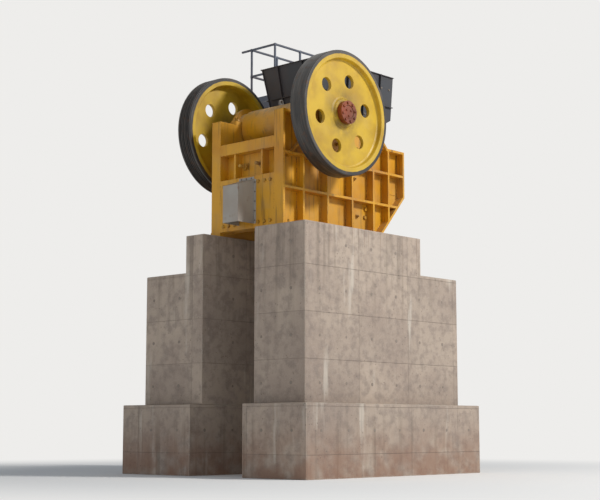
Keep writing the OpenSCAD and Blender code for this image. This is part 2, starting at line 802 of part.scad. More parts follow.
// Walkway
module walkway_posts() {
    top = deck_z - frame_h - deck_t;
    low = -shelf_drop + 3 * tie_w;
    brace_y = post_y[1] + post_s;
    color(rail_grey) site() {
        for (x = post_x, y = post_y) {
            block(x, x + post_s, y, y + post_s, -shelf_drop + foot_t, top);
            block(x - plate_x, x + post_s + plate_x, y - plate_y, y + post_s + plate_y,
                -shelf_drop, -shelf_drop + foot_t);
        }
        for (y = post_y) across(y + post_s / 2 - tie_t / 2, y + post_s / 2 + tie_t / 2)
            ties(post_x[0] + post_s, post_x[1], low, top - 2.5 * tie_w);
        for (x = post_x) along(x + post_s / 2 - tie_t / 2, x + post_s / 2 + tie_t / 2)
            ties(post_y[0] + post_s, post_y[1], low, top - 2.5 * tie_w);
        for (x = post_x) along(x + post_s / 2 - brace_t / 2, x + post_s / 2 + brace_t / 2)
            polygon([[brace_y - sink, top - brace_h], [brace_y - sink, top - brace_h + brace_t],
                [deck_out_y - 1.5 * brace_t, top], [deck_out_y, top], [deck_out_y, top - sink]]);
    }
}
module walkway_frame() {
    top = deck_z - deck_t;
    low = top - frame_h;
    color(rail_grey) site() {
        for (y = [deck_in_y, deck_out_y - frame_t])
            block(deck_rear_x, deck_front_x, y, y + frame_t, low, top);
        for (x = [deck_rear_x, post_x[0] + post_s / 2 - frame_t / 2, post_x[1] + post_s / 2 - frame_t / 2,
            deck_front_x - frame_t])
            block(x, x + frame_t, deck_in_y, deck_out_y, low, top);
    }
}
module walkway_deck() {
    color(rail_grey) site() block(deck_rear_x, deck_front_x, deck_in_y, deck_out_y, deck_z - deck_t, deck_z);
}
module long_rail(y) {
    translate([0, y, deck_z]) {
        for (x = [rail_x[0], (rail_x[0] + rail_x[1]) / 2, rail_x[1]])
            translate([x, 0, 0]) cylinder(h = rail_h - tube_r, r = tube_r, $fn = 24);
        for (z = rail_heights) translate([rail_x[0], 0, z]) rotate([0, 90, 0])
            cylinder(h = rail_x[1] - rail_x[0], r = tube_r, $fn = 24);
        for (x = rail_x) translate([x, 0, rail_h - tube_r]) sphere(r = tube_r, $fn = 24);
    }
}
module rail_inner() { color(rail_grey) site() long_rail(rail_y[0]); }
module rail_outer() { color(rail_grey) site() long_rail(rail_y[1]); }
module rail_end() {
    color(rail_grey) site() {
        for (z = rail_heights) translate([rail_x[0], 0, deck_z + z])
            bar_y(tube_r, rail_y[0] + tube_r, rail_y[1] - tube_r);
        translate([rail_x[0], 0, deck_z + rail_heights[1]])
            bar_y(tube_r, rail_y[1] + tube_r, deck_out_y + grab_out);
    }
}

// Rotor
module eccentric_shaft() {
    half = wheel_in_y + ring_end - shaft_recess;
    color(steel) site() on_shaft() {
        bar_y(journal_d / 2, -wheel_in_y + hub_in + over, wheel_in_y - hub_in - over);
        bar_y(shaft_end_d / 2, -half, half);
    }
}
// A flywheel on Z, its outer face towards +Z, its rim's inner edge at Z = 0
module flywheel(grooves) {
    r = wheel_d / 2;
    bore = shaft_end_d / 2 + run_gap;
    hub = hub_d / 2;
    web_top = wheel_w - web_recess;
    web_low = web_top - web_t;
    rim = r - rim_t;
    difference() {
        rotate_extrude() difference() {
            polygon([[bore, -hub_in], [hub - 2 * chamfer, -hub_in], [hub - chamfer, -hub_in + chamfer],
                [hub, 0],
                [hub, web_low - fillet], [hub + 0.3 * fillet, web_low - 0.3 * fillet], [hub + fillet, web_low],
                [rim - fillet, web_low], [rim - 0.3 * fillet, web_low - 0.3 * fillet],
                [rim - 0.1 * fillet, web_low - fillet],
                [rim, chamfer], [rim + chamfer, 0], [r - chamfer, 0], [r, chamfer],
                [r, wheel_w - chamfer], [r - chamfer, wheel_w], [rim + chamfer, wheel_w],
                [rim, wheel_w - chamfer],
                [rim - 0.1 * fillet, web_top + fillet], [rim - 0.3 * fillet, web_top + 0.3 * fillet],
                [rim - fillet, web_top],
                [hub + fillet, web_top], [hub + 0.3 * fillet, web_top + 0.3 * fillet],
                [hub, web_top + 0.75 * fillet],
                [hub - chamfer / 2, hub_out - chamfer], [hub - 1.5 * chamfer, hub_out], [bore, hub_out]]);
            if (grooves > 0) for (i = [0 : grooves - 1])
                translate([r, wheel_w / 2 + (i - (grooves - 1) / 2) * groove_pitch])
                    polygon([[over, -groove_top], [over, groove_top],
                        [-groove_depth, groove_low], [-groove_depth, -groove_low]]);
        }
        for (i = [0 : web_holes - 1]) rotate(wheel_phase + i * 360 / web_holes)
            translate([web_hole_pcd / 2, 0, web_low - over]) cylinder(h = web_t + 2 * over, d = web_hole_d);
    }
}
module near_flywheel() {
    color(yellow) site() on_shaft() translate([0, -wheel_in_y, 0]) rotate([90, 0, 0]) flywheel(0);
}
module far_flywheel() {
    color(yellow) site() on_shaft() far_side()
        translate([0, -wheel_in_y, 0]) rotate([90, 0, 0]) flywheel(belt_grooves);
}
module clamp_ring() {
    on_shaft() difference() {
        bar_y(ring_d / 2, -wheel_in_y - ring_end, -wheel_in_y - hub_out);
        bar_y(shaft_end_d / 2 + run_gap, -wheel_in_y - ring_end - over, -wheel_in_y - hub_out + over);
    }
}
module near_clamp_ring() { color("#7a2f18") site() clamp_ring(); }
module far_clamp_ring() { color("#7a2f18") site() far_side() clamp_ring(); }

near_footing();
far_footing();
near_pier();
far_pier();
near_side_wall();
far_side_wall();
front_wall();
rear_wall();
near_bearing_housing();
far_bearing_housing();
near_bearing_cover();
far_bearing_cover();
near_cheek_plate();
far_cheek_plate();
fixed_jaw_plate();
swing_jaw();
swing_jaw_plate();
swing_jaw_wedge();
lifting_eye();
toggle_plate();
toggle_block();
tension_rod();
rod_pin();
tension_spring();
spring_seat();
spring_guard();
chute_rear_wall();
chute_near_wall();
chute_far_wall();
chute_slide();
walkway_posts();
walkway_frame();
walkway_deck();
rail_end();
rail_inner();
rail_outer();
eccentric_shaft();
near_flywheel();
far_flywheel();
near_clamp_ring();
far_clamp_ring();
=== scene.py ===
"""Dresses the jaw crusher on its piers: finishes, fasteners, weld seams, grating and weathering."""

import json
import math
import random

import bmesh
import bpy
from mathutils import Matrix, Vector


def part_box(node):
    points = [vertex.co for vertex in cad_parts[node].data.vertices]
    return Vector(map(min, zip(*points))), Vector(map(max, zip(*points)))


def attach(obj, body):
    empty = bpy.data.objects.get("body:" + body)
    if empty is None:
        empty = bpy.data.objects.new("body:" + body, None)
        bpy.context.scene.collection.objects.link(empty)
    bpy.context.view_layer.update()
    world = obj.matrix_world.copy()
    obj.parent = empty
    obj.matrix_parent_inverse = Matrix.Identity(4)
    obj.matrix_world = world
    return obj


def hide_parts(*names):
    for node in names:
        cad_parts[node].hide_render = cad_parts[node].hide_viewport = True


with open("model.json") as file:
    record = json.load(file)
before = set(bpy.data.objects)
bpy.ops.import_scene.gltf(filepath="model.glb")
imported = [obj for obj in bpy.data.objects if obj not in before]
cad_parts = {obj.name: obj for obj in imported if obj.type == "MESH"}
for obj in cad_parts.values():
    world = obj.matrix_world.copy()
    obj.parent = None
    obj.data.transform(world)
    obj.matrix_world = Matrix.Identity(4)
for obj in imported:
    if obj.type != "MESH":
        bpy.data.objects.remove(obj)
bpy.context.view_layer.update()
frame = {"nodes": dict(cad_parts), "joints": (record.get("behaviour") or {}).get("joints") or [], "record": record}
nodes = frame["nodes"]

MM = 0.001

# The shaft's centre is the rotor's pivot; the machine's base lies on the near pier's top
SHAFT = Vector(frame["joints"][0]["pos_m"])
BASE_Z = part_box("near_pier")[1].z

ALONG = Vector((1, 0, 0))
ACROSS = Vector((0, 1, 0))
UP = Vector((0, 0, 1))
# The near side is the one at -Y
SIDES = ((-1, "near"), (1, "far"))

# Camera, where the photograph was taken: distance from the shaft on plan in metres, and the angles of the
# line of sight to it, from the +Y axis and up from the level
DISTANCE = 21.5
HEADING = math.radians(46.8)
RISE = math.radians(12.9)
EYE = SHAFT - DISTANCE * Vector((math.sin(HEADING), math.cos(HEADING), math.tan(RISE)))
LOOK_AT = Vector((0.04, 0.02, 3.70))
LENS = 80
SENSOR = 36

# The pale backdrop that the camera sees, and the floor that takes the shadow
BACKDROP = "#eeedeb"
FLOOR = "#f4f1ec"
SKY = "#d9e4f2"
FLOOR_RADIUS = 90.0
# Distances in metres between which the floor turns into the backdrop
FLOOR_FADE = (4.5, 12.0)
# Lamps: place and size in metres, and power in watts; both point at the object's middle
AIM = Vector((0, 0, 3.5))
LAMPS = {"key": ((7.0, -20.0, 17.0), 3.2, 4700.0), "fill": ((-16.0, -5.0, 8.0), 9.0, 210.0)}
SKY_LIGHT = 0.38


def paint(hex_code):
    """An sRGB hex value as a linear colour with alpha."""
    channels = [int(hex_code[i:i + 2], 16) / 255 for i in (1, 3, 5)]
    linear = [c / 12.92 if c <= 0.04045 else ((c + 0.055) / 1.055) ** 2.4 for c in channels]
    return (*linear, 1.0)


def add(tree, kind, inputs=None, **settings):
    """Adds a shader node, sets its settings and fills or links its inputs."""
    made = tree.nodes.new("ShaderNode" + kind)
    for name, value in settings.items():
        setattr(made, name, value)
    for key, value in (inputs or {}).items():
        if isinstance(value, bpy.types.NodeSocket):
            tree.links.new(value, made.inputs[key])
        else:
            made.inputs[key].default_value = value
    return made


def new_material(name):
    """An empty material with its node tree and its object coordinates."""
    material = bpy.data.materials.new(name)
    material.use_nodes = True
    tree = material.node_tree
    tree.nodes.clear()
    place = add(tree, "TexCoord").outputs["Object"]
    return material, tree, place


def patches(tree, place, size, low=0.0, high=1.0, detail=4.0, roughness=0.55):
    """A mask of cloudy patches of a size in millimetres, one or by axis, that rises between two levels."""
    lengths = size if isinstance(size, tuple) else (size, size, size)
    scaled = add(tree, "Mapping", {"Vector": place, "Scale": [1 / (length * MM) for length in lengths]})
    cloud = add(tree, "TexNoise", {"Vector": scaled.outputs[0], "Scale": 1.0, "Detail": detail,
                                   "Roughness": roughness}).outputs["Fac"]
    return add(tree, "MapRange", {0: cloud, 1: low, 2: high}, interpolation_type="SMOOTHSTEP").outputs[0]


def up_from(tree, place, none, full):
    """A mask by height in metres, or by how far a direction looks up, from where there is none to full."""
    z = add(tree, "SeparateXYZ", {0: place}).outputs[2]
    return add(tree, "MapRange", {0: z, 1: none, 2: full}, interpolation_type="SMOOTHSTEP").outputs[0]


def upward(tree):
    """A mask of the faces that look up, where dust settles."""
    normal = add(tree, "NewGeometry").outputs["Normal"]
    return up_from(tree, normal, 0.25, 0.85)


def worn_edges(tree, width):
    """A mask of worn outer edges, from the turn of the surface within a width in millimetres."""
    flat = add(tree, "NewGeometry").outputs["Normal"]
    rounded = add(tree, "Bevel", {"Radius": width * MM}, samples=4).outputs[0]
    alike = add(tree, "VectorMath", {0: flat, 1: rounded}, operation="DOT_PRODUCT").outputs["Value"]
    return add(tree, "MapRange", {0: alike, 1: 0.98, 2: 0.82}, interpolation_type="SMOOTHSTEP").outputs[0]


def where_all(tree, *masks):
    """A mask of the places where several masks meet; a plain number thins it."""
    met = masks[0]
    for mask in masks[1:]:
        met = add(tree, "Math", {0: met, 1: mask}, operation="MULTIPLY").outputs[0]
    return met


def summed(tree, start, *shares):
    """A number plus masks, each with the share that it counts with."""
    total = start
    for mask, share in shares:
        total = add(tree, "Math", {0: mask, 1: share, 2: total}, operation="MULTIPLY_ADD").outputs[0]
    return total


def layer(tree, color, coat, mask, share=1.0):
    """A coat laid over a colour where a mask says, as dense as its share."""
    cover = where_all(tree, mask, share)
    return add(tree, "Mix", {0: cover, 6: color, 7: paint(coat)}, data_type="RGBA").outputs[2]


def surface(tree, color, roughness, height, depth, metallic=0.0):
    """Closes a material: one principled shader, and bumps from a height, some millimetres deep."""
    bump = add(tree, "Bump", {"Height": height, "Distance": depth * MM, "Strength": 1.0}).outputs[0]
    shader = add(tree, "BsdfPrincipled", {"Base Color": color, "Roughness": roughness, "Metallic": metallic,
                                          "Normal": bump})
    add(tree, "OutputMaterial", {"Surface": shader.outputs[0]})


# Stone dust, and the rust where paint is knocked off
DUST = "#a98f68"
RUST = "#5c3018"


def machine_enamel(name, base, deep, dust=DUST, grime="#4a3316"):
    """Machine enamel sprayed on steel plate: an even satin coat, faded, dusty on top and run with oil."""
    material, tree, place = new_material(name)
    color = layer(tree, paint(base), deep, patches(tree, place, 900, 0.40, 0.68, 3.0))
    # Oil and rain run down in streaks 70 mm wide and 0.8 m long
    color = layer(tree, color, grime, patches(tree, place, (70, 70, 780), 0.52, 0.74, 5.0), 0.55)
    settled = where_all(tree, upward(tree), patches(tree, place, 70, 0.30, 0.62, 6.0), 0.75)
    film = where_all(tree, patches(tree, place, 370, 0.42, 0.75, 5.0), 0.30)
    dusty = add(tree, "Math", {0: settled, 1: film}, operation="MAXIMUM").outputs[0]
    color = layer(tree, color, dust, dusty)
    # Stones knock the paint off the edges in chips of about 26 mm
    chips = where_all(tree, worn_edges(tree, 12), patches(tree, place, 26, 0.50, 0.60, 5.0))
    color = layer(tree, color, RUST, chips)
    # The paint's orange peel is 2 mm wide; it is drawn at 70 mm, as waves of the plate that show
    height = summed(tree, 0.0, (patches(tree, place, 70, detail=6.0), 0.7), (chips, -1.0))
    surface(tree, color, summed(tree, 0.42, (dusty, 0.40)), height, 1.2)
    return material


def wheel_enamel(name, base, deep, rim, rim_start):
    """A cast wheel: its web and the rim's inside in enamel, the rim's outside black with oil and dust."""
    material, tree, place = new_material(name)
    apart = add(tree, "VectorMath", {0: place, 1: tuple(SHAFT)}, operation="SUBTRACT").outputs[0]
    x, _, z = add(tree, "SeparateXYZ", {0: apart}).outputs
    flat = add(tree, "CombineXYZ", {0: x, 2: z}).outputs[0]
    radius = add(tree, "VectorMath", {0: flat}, operation="LENGTH").outputs["Value"]
    color = layer(tree, paint(base), deep, patches(tree, place, 530, 0.38, 0.70, 3.0))
    # Oil creeps out of the hub over the inner half of the web
    inner = add(tree, "MapRange", {0: radius, 1: 0.52, 2: 0.20}, interpolation_type="SMOOTHSTEP").outputs[0]
    oil = where_all(tree, inner, patches(tree, place, 200, 0.25, 0.62, 5.0))
    color = layer(tree, color, "#3a2410", oil, 0.62)
    film = patches(tree, place, 300, 0.45, 0.78, 5.0)
    color = layer(tree, color, DUST, film, 0.20)
    # The paint ends in a hand-cut line round the rim, some 6 mm out of true
    ragged = summed(tree, -0.006, (radius, 1.0), (patches(tree, place, 110, detail=3.0), 0.012))
    outside = add(tree, "MapRange", {0: ragged, 1: rim_start, 2: rim_start + 0.006},
                  interpolation_type="SMOOTHSTEP").outputs[0]
    # The rim is rubbed round its way in lines about 26 mm apart, with rust in spots of 90 mm
    tread = layer(tree, paint(rim), "#47423d", patches(tree, place, (570, 26, 570), 0.42, 0.66, 6.0))
    rust = patches(tree, place, 90, 0.53, 0.66, 7.0, 0.68)
    tread = layer(tree, tread, "#5d3f2b", rust, 0.50)
    color = add(tree, "Mix", {0: outside, 6: color, 7: tread}, data_type="RGBA").outputs[2]
    chips = where_all(tree, worn_edges(tree, 10), patches(tree, place, 29, 0.50, 0.60, 5.0))
    color = layer(tree, color, RUST, chips, 0.8)
    # The casting's sand grain is drawn at 17 mm, coarser than its 2 mm, so that it shows
    grain = patches(tree, place, 17, detail=6.0)
    surface(tree, color, summed(tree, 0.45, (film, 0.15), (rust, 0.20)), grain, 1.1)
    return material


# Width and height in metres of a panel of the forms, and where the first seam along the walls lies
FORM_W = 1.22
FORM_H = 0.70
FORM_START = -0.03


def cast_concrete(name):
    """Concrete cast in panel forms: chalky and mottled, with blow holes, rain streaks and soil below."""
    material, tree, place = new_material(name)
    x, y, z = add(tree, "SeparateXYZ", {0: place}).outputs
    # Panels are added to keep the pattern off its own zero lines; the half sets the seams between the ties
    along = summed(tree, 20 * FORM_W - FORM_START, (x, 1.0), (y, -1.0))
    level = summed(tree, 9.5 * FORM_H, (z, 1.0))
    wall = add(tree, "CombineXYZ", {0: along, 1: level}).outputs[0]
    # The seams are fins some 2 mm thick; they are drawn 7 mm wide, so that they show
    form = add(tree, "TexBrick", {"Vector": wall, "Color1": paint("#000000"), "Color2": paint("#ffffff"),
                                  "Mortar": paint("#808080"), "Scale": 1.0, "Mortar Size": 0.0035,
                                  "Mortar Smooth": 0.25, "Brick Width": FORM_W, "Row Height": FORM_H},
               offset=0.0, squash=1.0).outputs
    looks_up = upward(tree)
    upright = summed(tree, 1.0, (looks_up, -1.0))
    seam = where_all(tree, form["Fac"], upright)
    # Each panel has its own tone; within it the skin is mottled at 140 mm and gritty at 17 mm
    color = layer(tree, paint("#bcaa98"), "#a69485", patches(tree, place, 1250, 0.35, 0.68))
    color = layer(tree, color, "#8b7d72", form["Color"], 0.34)
    color = layer(tree, color, "#80736a", patches(tree, place, 143, 0.42, 0.66, 9.0, 0.62), 0.55)
    color = layer(tree, color, "#c6b9ae", patches(tree, place, 17, 0.45, 0.75, 4.0, 0.7), 0.30)
    # Rain runs off each top edge in dark streaks 110 mm wide, and in thin rusty and broad limy ones
    upper = up_from(tree, place, 1.6, 3.8)
    lower = up_from(tree, place, 1.15, 0.5)
    below_tops = summed(tree, 0.0, (upper, 1.0), (lower, 1.0))
    wet = where_all(tree, patches(tree, place, (110, 110, 2380), 0.50, 0.70, 6.0), below_tops)
    color = layer(tree, color, "#6b6053", wet, 0.46)
    near_top = up_from(tree, place, 2.4, 3.8)
    drip = where_all(tree, patches(tree, place, (38, 38, 1670), 0.62, 0.74, 3.0), near_top)
    color = layer(tree, color, "#6d4a33", drip, 0.36)
    color = layer(tree, color, "#d6ccbd", patches(tree, place, (260, 260, 2020), 0.60, 0.72, 5.0), 0.55)
    soil = where_all(tree, up_from(tree, place, 1.0, 0.0), patches(tree, place, 417, 0.30, 0.60, 6.0))
    color = layer(tree, color, "#8c6650", soil, 0.72)
    settled = where_all(tree, looks_up, patches(tree, place, 167, 0.20, 0.55, 6.0))
    color = layer(tree, color, "#a08c76", settled, 0.70)
    color = layer(tree, color, "#6b6155", seam, 0.42)
    # Blow holes some 10 mm across stand 67 mm apart where the concrete was poorly shaken; their darker colour is
    # painted shade in the holes
    cells = add(tree, "TexVoronoi", {"Vector": place, "Scale": 15.0, "Randomness": 1.0}).outputs["Distance"]
    hole = add(tree, "MapRange", {0: cells, 1: 0.16, 2: 0.05}, interpolation_type="SMOOTHSTEP").outputs[0]
    hole = where_all(tree, hole, patches(tree, place, 476, 0.47, 0.60, 3.0))
    color = layer(tree, color, "#544b40", hole, 0.75)
    chips = where_all(tree, worn_edges(tree, 35), patches(tree, place, 143, 0.45, 0.58, 9.0, 0.62))
    color = layer(tree, color, "#d2c7b6", chips, 0.65)
    mottle = patches(tree, place, 143, detail=9.0, roughness=0.62)
    grit = patches(tree, place, 17, roughness=0.7)
    height = summed(tree, 0.0, (mottle, 0.62), (hole, -1.0), (grit, 0.17), (chips, -0.8), (seam, 0.9))
    surface(tree, color, 0.9, height, 6)
    return material


def weathered(name, base, rust, share, roughness=0.6, metallic=0.0):
    """A weathered skin, as on hot-rolled plate: an even tone, dusty on top, and rust where water stands."""
    material, tree, place = new_material(name)
    color = layer(tree, paint(base), rust, patches(tree, place, 590, 0.35, 0.70, 3.0), 0.28)
    spots = patches(tree, place, 320, 1.0 - share, 1.12 - share, 6.0, 0.62)
    runs = where_all(tree, patches(tree, place, (95, 95, 740), 0.58, 0.74, 5.0), share)
    edges = where_all(tree, worn_edges(tree, 8), 0.55)
    rusty = add(tree, "Math", {0: spots, 1: runs}, operation="MAXIMUM").outputs[0]
    rusty = add(tree, "Math", {0: rusty, 1: edges}, operation="MAXIMUM").outputs[0]
    color = layer(tree, color, rust, rusty, 0.8)
    color = layer(tree, color, "#8f7a60", upward(tree), 0.55)
    # Mill scale and thin rust are pitted at about 1 mm; they are drawn at 18 mm, so that they show
    pits = patches(tree, place, 18, detail=6.0)
    surface(tree, color, summed(tree, roughness, (rusty, 0.25)), pits, 0.55, metallic)
    return material


def cast_manganese(name):
    """Manganese steel castings: a dull brown skin, rubbed bright by the rock along edges and scratches."""
    material, tree, place = new_material(name)
    # Rock drags down the plates and leaves scratches 19 mm wide and 0.4 m long
    scratch = patches(tree, place, (19, 19, 385))
    rubbed = summed(tree, 0.0, (scratch, 0.5), (worn_edges(tree, 14), 0.6))
    bright = add(tree, "MapRange", {0: rubbed, 1: 0.32, 2: 0.66}, interpolation_type="SMOOTHSTEP").outputs[0]
    color = layer(tree, paint("#5b5048"), "#7b5f48", patches(tree, place, 110, 0.35, 0.70, 6.0))
    color = layer(tree, color, "#a9a39b", bright)
    rough = summed(tree, 0.72, (bright, -0.38))
    surface(tree, color, rough, scratch, 0.7, where_all(tree, bright, 0.85))
    return material


# The frame's coat, an ochre yellow, and the same on its bolts, darker where spanners and oil have been
YELLOW = machine_enamel("machine enamel", "#d69b1a", "#c08215")
PAINTED = machine_enamel("enamel on bolts", "#c18f1d", "#8a5f1c", "#8f7450", "#3a2813")
# Red lead on the shaft's caps and clamping rings, chalky and stained with oil
PRIMER = machine_enamel("oxide primer", "#8a3a12", "#5f280d", "#8f6038")
# The wheels' coat is a colder yellow; beyond 0.938 m from the shaft the rim is black
WHEEL = wheel_enamel("cast wheel enamel", "#c9a41e", "#ad8716", "#242221", 0.938)
CONCRETE = cast_concrete("cast concrete")
MANGANESE = cast_manganese("cast manganese steel")
# Rolled bars and plates left bare, with a dull shine under brown rust
STEEL = weathered("weathered steel", "#6d6a66", "#6a4630", 0.42, 0.45, 0.6)
# Thin sheet, drawn pale grey and matt
GREY_SHEET = weathered("light grey sheet", "#a6a198", "#7c5a42", 0.42, 0.55)
# Plate in thin dark paint, browned in patches; its slight blue cast is painted sky light
CHUTE = weathered("dark grey plate", "#313338", "#4e392d", 0.36, 0.58)
# Brushed paint on tubes and sections, blue grey and chalky
RAIL = weathered("blue grey rail paint", "#4a5362", "#5f4030", 0.26, 0.5)
# Plated bolts gone dull, with rust over nearly half of them
FASTENER = weathered("zinc and rust on bolts", "#7d766c", "#6b4128", 0.45, 0.5, 0.5)
# Wear plates, rubbed and rusted in turn
LINER = weathered("worn liner plate", "#6b6058", "#7a5138", 0.50, 0.45, 0.5)
# Cement mortar, matt and stained brown
MORTAR = weathered("mortar plugs", "#8f8378", "#75685c", 0.40, 0.9)
# Turned brass under a brown film
BRASS = weathered("brass nipple", "#9c7a3a", "#5e4526", 0.3, 0.4, 0.9)
# Bars dipped in zinc, with a cold grey shine
GALVANISED = weathered("galvanised grating", "#8b8f90", "#6a5138", 0.25, 0.5, 0.5)

# Each slot's finish, and the width in millimetres to which its edges are rounded
FINISH = {
    "concrete": (CONCRETE, 14),
    "yellow_paint": (YELLOW, 4),
    "manganese_steel": (MANGANESE, 6),
    "bare_steel": (STEEL, 3),
    "grey_sheet": (GREY_SHEET, 2),
    "chute_plate": (CHUTE, 2),
    "rail_paint": (RAIL, 2),
    "red_primer": (PRIMER, 4),
}
# Nodes whose edges are rounder or sharper than the rest of their slot
OWN_EDGE = {"near_flywheel": 3, "far_flywheel": 3, "swing_jaw": 8, "toggle_plate": 6,
            "tension_spring": 0.5, "walkway_deck": 1}


def round_edges(piece, width):
    """Breaks a piece's sharp edges by a small round of a width in millimetres."""
    bevel = piece.modifiers.new("round edges", "BEVEL")
    bevel.width = width * MM
    bevel.segments = 2
    bevel.limit_method = "ANGLE"
    bevel.angle_limit = math.radians(32)
    bevel.harden_normals = True


def finish_nodes():
    """Gives each solid the finish of its slot and rounds its edges."""
    slots = {part["node"]: part["material_slot"] for part in frame["record"]["subparts"]}
    for name, piece in nodes.items():
        material, width = FINISH[slots[name]]
        if name in ("near_flywheel", "far_flywheel"):
            material = WHEEL
        piece.data.materials.clear()
        piece.data.materials.append(material)
        for face in piece.data.polygons:
            face.material_index = 0
        weld = piece.modifiers.new("join", "WELD")
        weld.merge_threshold = 0.02 * MM
        round_edges(piece, OWN_EDGE.get(name, width))


def piece_of(bm, name, material=None, body=None, smooth=False, edge=0):
    """Makes a bmesh an object with its finish, edges rounded by millimetres, and the body it rides on."""
    mesh = bpy.data.meshes.new(name)
    bm.to_mesh(mesh)
    bm.free()
    piece = bpy.data.objects.new(name, mesh)
    bpy.context.scene.collection.objects.link(piece)
    if material is not None:
        mesh.materials.append(material)
    if smooth:
        mesh.shade_smooth()
    if edge:
        round_edges(piece, edge)
    if body is not None:
        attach(piece, body)
    return piece


# The camera, the floor and the light

def make_camera():
    """The camera, low and off the machine's rear near corner, looking up at it."""
    data = bpy.data.cameras.new("camera")
    data.lens = LENS
    data.sensor_width = SENSOR
    data.clip_end = 300
    camera = bpy.data.objects.new("camera", data)
    bpy.context.scene.collection.objects.link(camera)
    camera.location = EYE
    camera.rotation_mode = "QUATERNION"
    camera.rotation_quaternion = (EYE - LOOK_AT).to_track_quat("Z", "Y")
    bpy.context.scene.camera = camera


def make_floor():
    """A pale floor that takes the object's shadow and runs into a pale backdrop."""
    bm = bmesh.new()
    bmesh.ops.create_circle(bm, cap_ends=True, segments=64, radius=FLOOR_RADIUS)
    floor = piece_of(bm, "floor")
    material, tree, place = new_material("pale floor")
    out = add(tree, "VectorMath", {0: place}, operation="LENGTH").outputs["Value"]
    far = add(tree, "MapRange", {0: out, 1: FLOOR_FADE[0], 2: FLOOR_FADE[1]},
              interpolation_type="SMOOTHSTEP").outputs[0]
    matt = add(tree, "BsdfDiffuse", {"Color": paint(FLOOR)}).outputs[0]
    white = add(tree, "Emission", {"Color": paint(BACKDROP), "Strength": 1.0}).outputs[0]
    shader = add(tree, "MixShader", {0: far, 1: matt, 2: white})
    add(tree, "OutputMaterial", {"Surface": shader.outputs[0]})
    floor.data.materials.append(material)


def make_sky():
    """A soft sky on the object, where the camera and the reflections see the pale backdrop."""
    world = bpy.data.worlds.new("pale studio")
    bpy.context.scene.world = world
    world.use_nodes = True
    tree = world.node_tree
    tree.nodes.clear()
    path = add(tree, "LightPath").outputs
    seen = path["Is Camera Ray"]
    for ray in ("Is Glossy Ray", "Is Transmission Ray"):
        seen = add(tree, "Math", {0: seen, 1: path[ray]}, operation="MAXIMUM").outputs[0]
    sky = add(tree, "Background", {"Color": paint(SKY), "Strength": SKY_LIGHT}).outputs[0]
    backdrop = add(tree, "Background", {"Color": paint(BACKDROP), "Strength": 1.0}).outputs[0]
    shader = add(tree, "MixShader", {0: seen, 1: sky, 2: backdrop})
    add(tree, "OutputWorld", {"Surface": shader.outputs[0]})


def make_lamps():
    """One big soft key light from the right, and a wide faint fill from the left."""
    for name, (place, size, power) in LAMPS.items():
        data = bpy.data.lights.new(name, "AREA")
        data.size = size
        data.energy = power
        lamp = bpy.data.objects.new(name, data)
        bpy.context.scene.collection.objects.link(lamp)
        lamp.location = place
        lamp.rotation_mode = "QUATERNION"
        lamp.rotation_quaternion = (Vector(place) - AIM).to_track_quat("Z", "Y")


# Places on the machine and simple solids, in millimetres

def at(x, y, z):
    """A place on the machine: X from the shaft, Y from the middle plane and Z from the base."""
    return Vector((SHAFT.x + x * MM, SHAFT.y + y * MM, BASE_Z + z * MM))


def mm_box(node):
    """A node's lowest and highest corner as places on the machine."""
    low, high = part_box(node)
    zero = at(0, 0, 0)
    return (low - zero) / MM, (high - zero) / MM


def row(count, start, pitch):
    """Places in a row: how many, where the first is, and how far apart they are."""
    return [start + i * pitch for i in range(count)]


def slab(bm, low, high):
    """A closed box between two corners."""
    low, high = at(*low), at(*high)
    size = Matrix.Diagonal((*(high - low), 1.0))
    bmesh.ops.create_cube(bm, size=1.0, matrix=Matrix.Translation((low + high) / 2) @ size)


def turned(place, axis):
    """A matrix that puts +Z on an axis at a place."""
    return Matrix.Translation(place) @ Vector(axis).to_track_quat("Z", "Y").to_matrix().to_4x4()


# Meshes of the turned solids made so far, by their profile and number of sides
TURNED = {}


def lathe(bm, matrix, profile, sides=20, size=1):
    """A closed solid turned about the matrix's Z through pairs of height and radius, as shares of a size."""
    kept = (tuple(profile), sides)
    if kept not in TURNED:
        solid = bmesh.new()
        ends = [(profile[0][0], 0), *profile, (profile[-1][0], 0)]
        points = [solid.verts.new((radius, 0, z)) for z, radius in ends]
        lines = [solid.edges.new(pair) for pair in zip(points, points[1:])]
        bmesh.ops.spin(solid, geom=points + lines, cent=(0, 0, 0), axis=(0, 0, 1), angle=math.tau,
                       steps=sides, use_merge=True)
        bmesh.ops.remove_doubles(solid, verts=solid.verts, dist=0.0001)
        bmesh.ops.recalc_face_normals(solid, faces=solid.faces)
        TURNED[kept] = bpy.data.meshes.new("turned solid")
        solid.to_mesh(TURNED[kept])
        solid.free()
    count = len(bm.verts)
    bm.from_mesh(TURNED[kept])
    bm.verts.ensure_lookup_table()
    bmesh.ops.transform(bm, matrix=matrix @ Matrix.Scale(size * MM, 4), verts=bm.verts[count:])


def loft(bm, rows):
    """A closed skin over outlines that follow each other, with both ends capped."""
    rows = [[bm.verts.new(spot) for spot in outline] for outline in rows]
    for one, two in zip(rows, rows[1:]):
        for i in range(len(one)):
            bm.faces.new((one[i - 1], one[i], two[i], two[i - 1]))
    bm.faces.new(rows[0])
    bm.faces.new(reversed(rows[-1]))


# Fasteners and welds; the profiles are pairs of height and radius, as shares of the thread's diameter

WASHER = ((0, 1.08), (0.13, 1.08), (0.16, 1.04))
HEAD = ((0.10, 0.90), (0.72, 0.90), (0.80, 0.78))
SQUARE_WASHER = ((0, 1.35), (0.19, 1.35), (0.22, 1.31))
NUT = ((0.15, 0.92), (0.94, 0.92), (1.02, 0.80))
# Pitch of the threads, drawn coarser than the real 0.11 so that it shows
THREAD_PITCH = 0.18
# Leg of the fillet welds, the pitch of their ripples and how unevenly they swell
WELD = 8 * MM
RIPPLE = 12 * MM
UNEVEN = 0.16
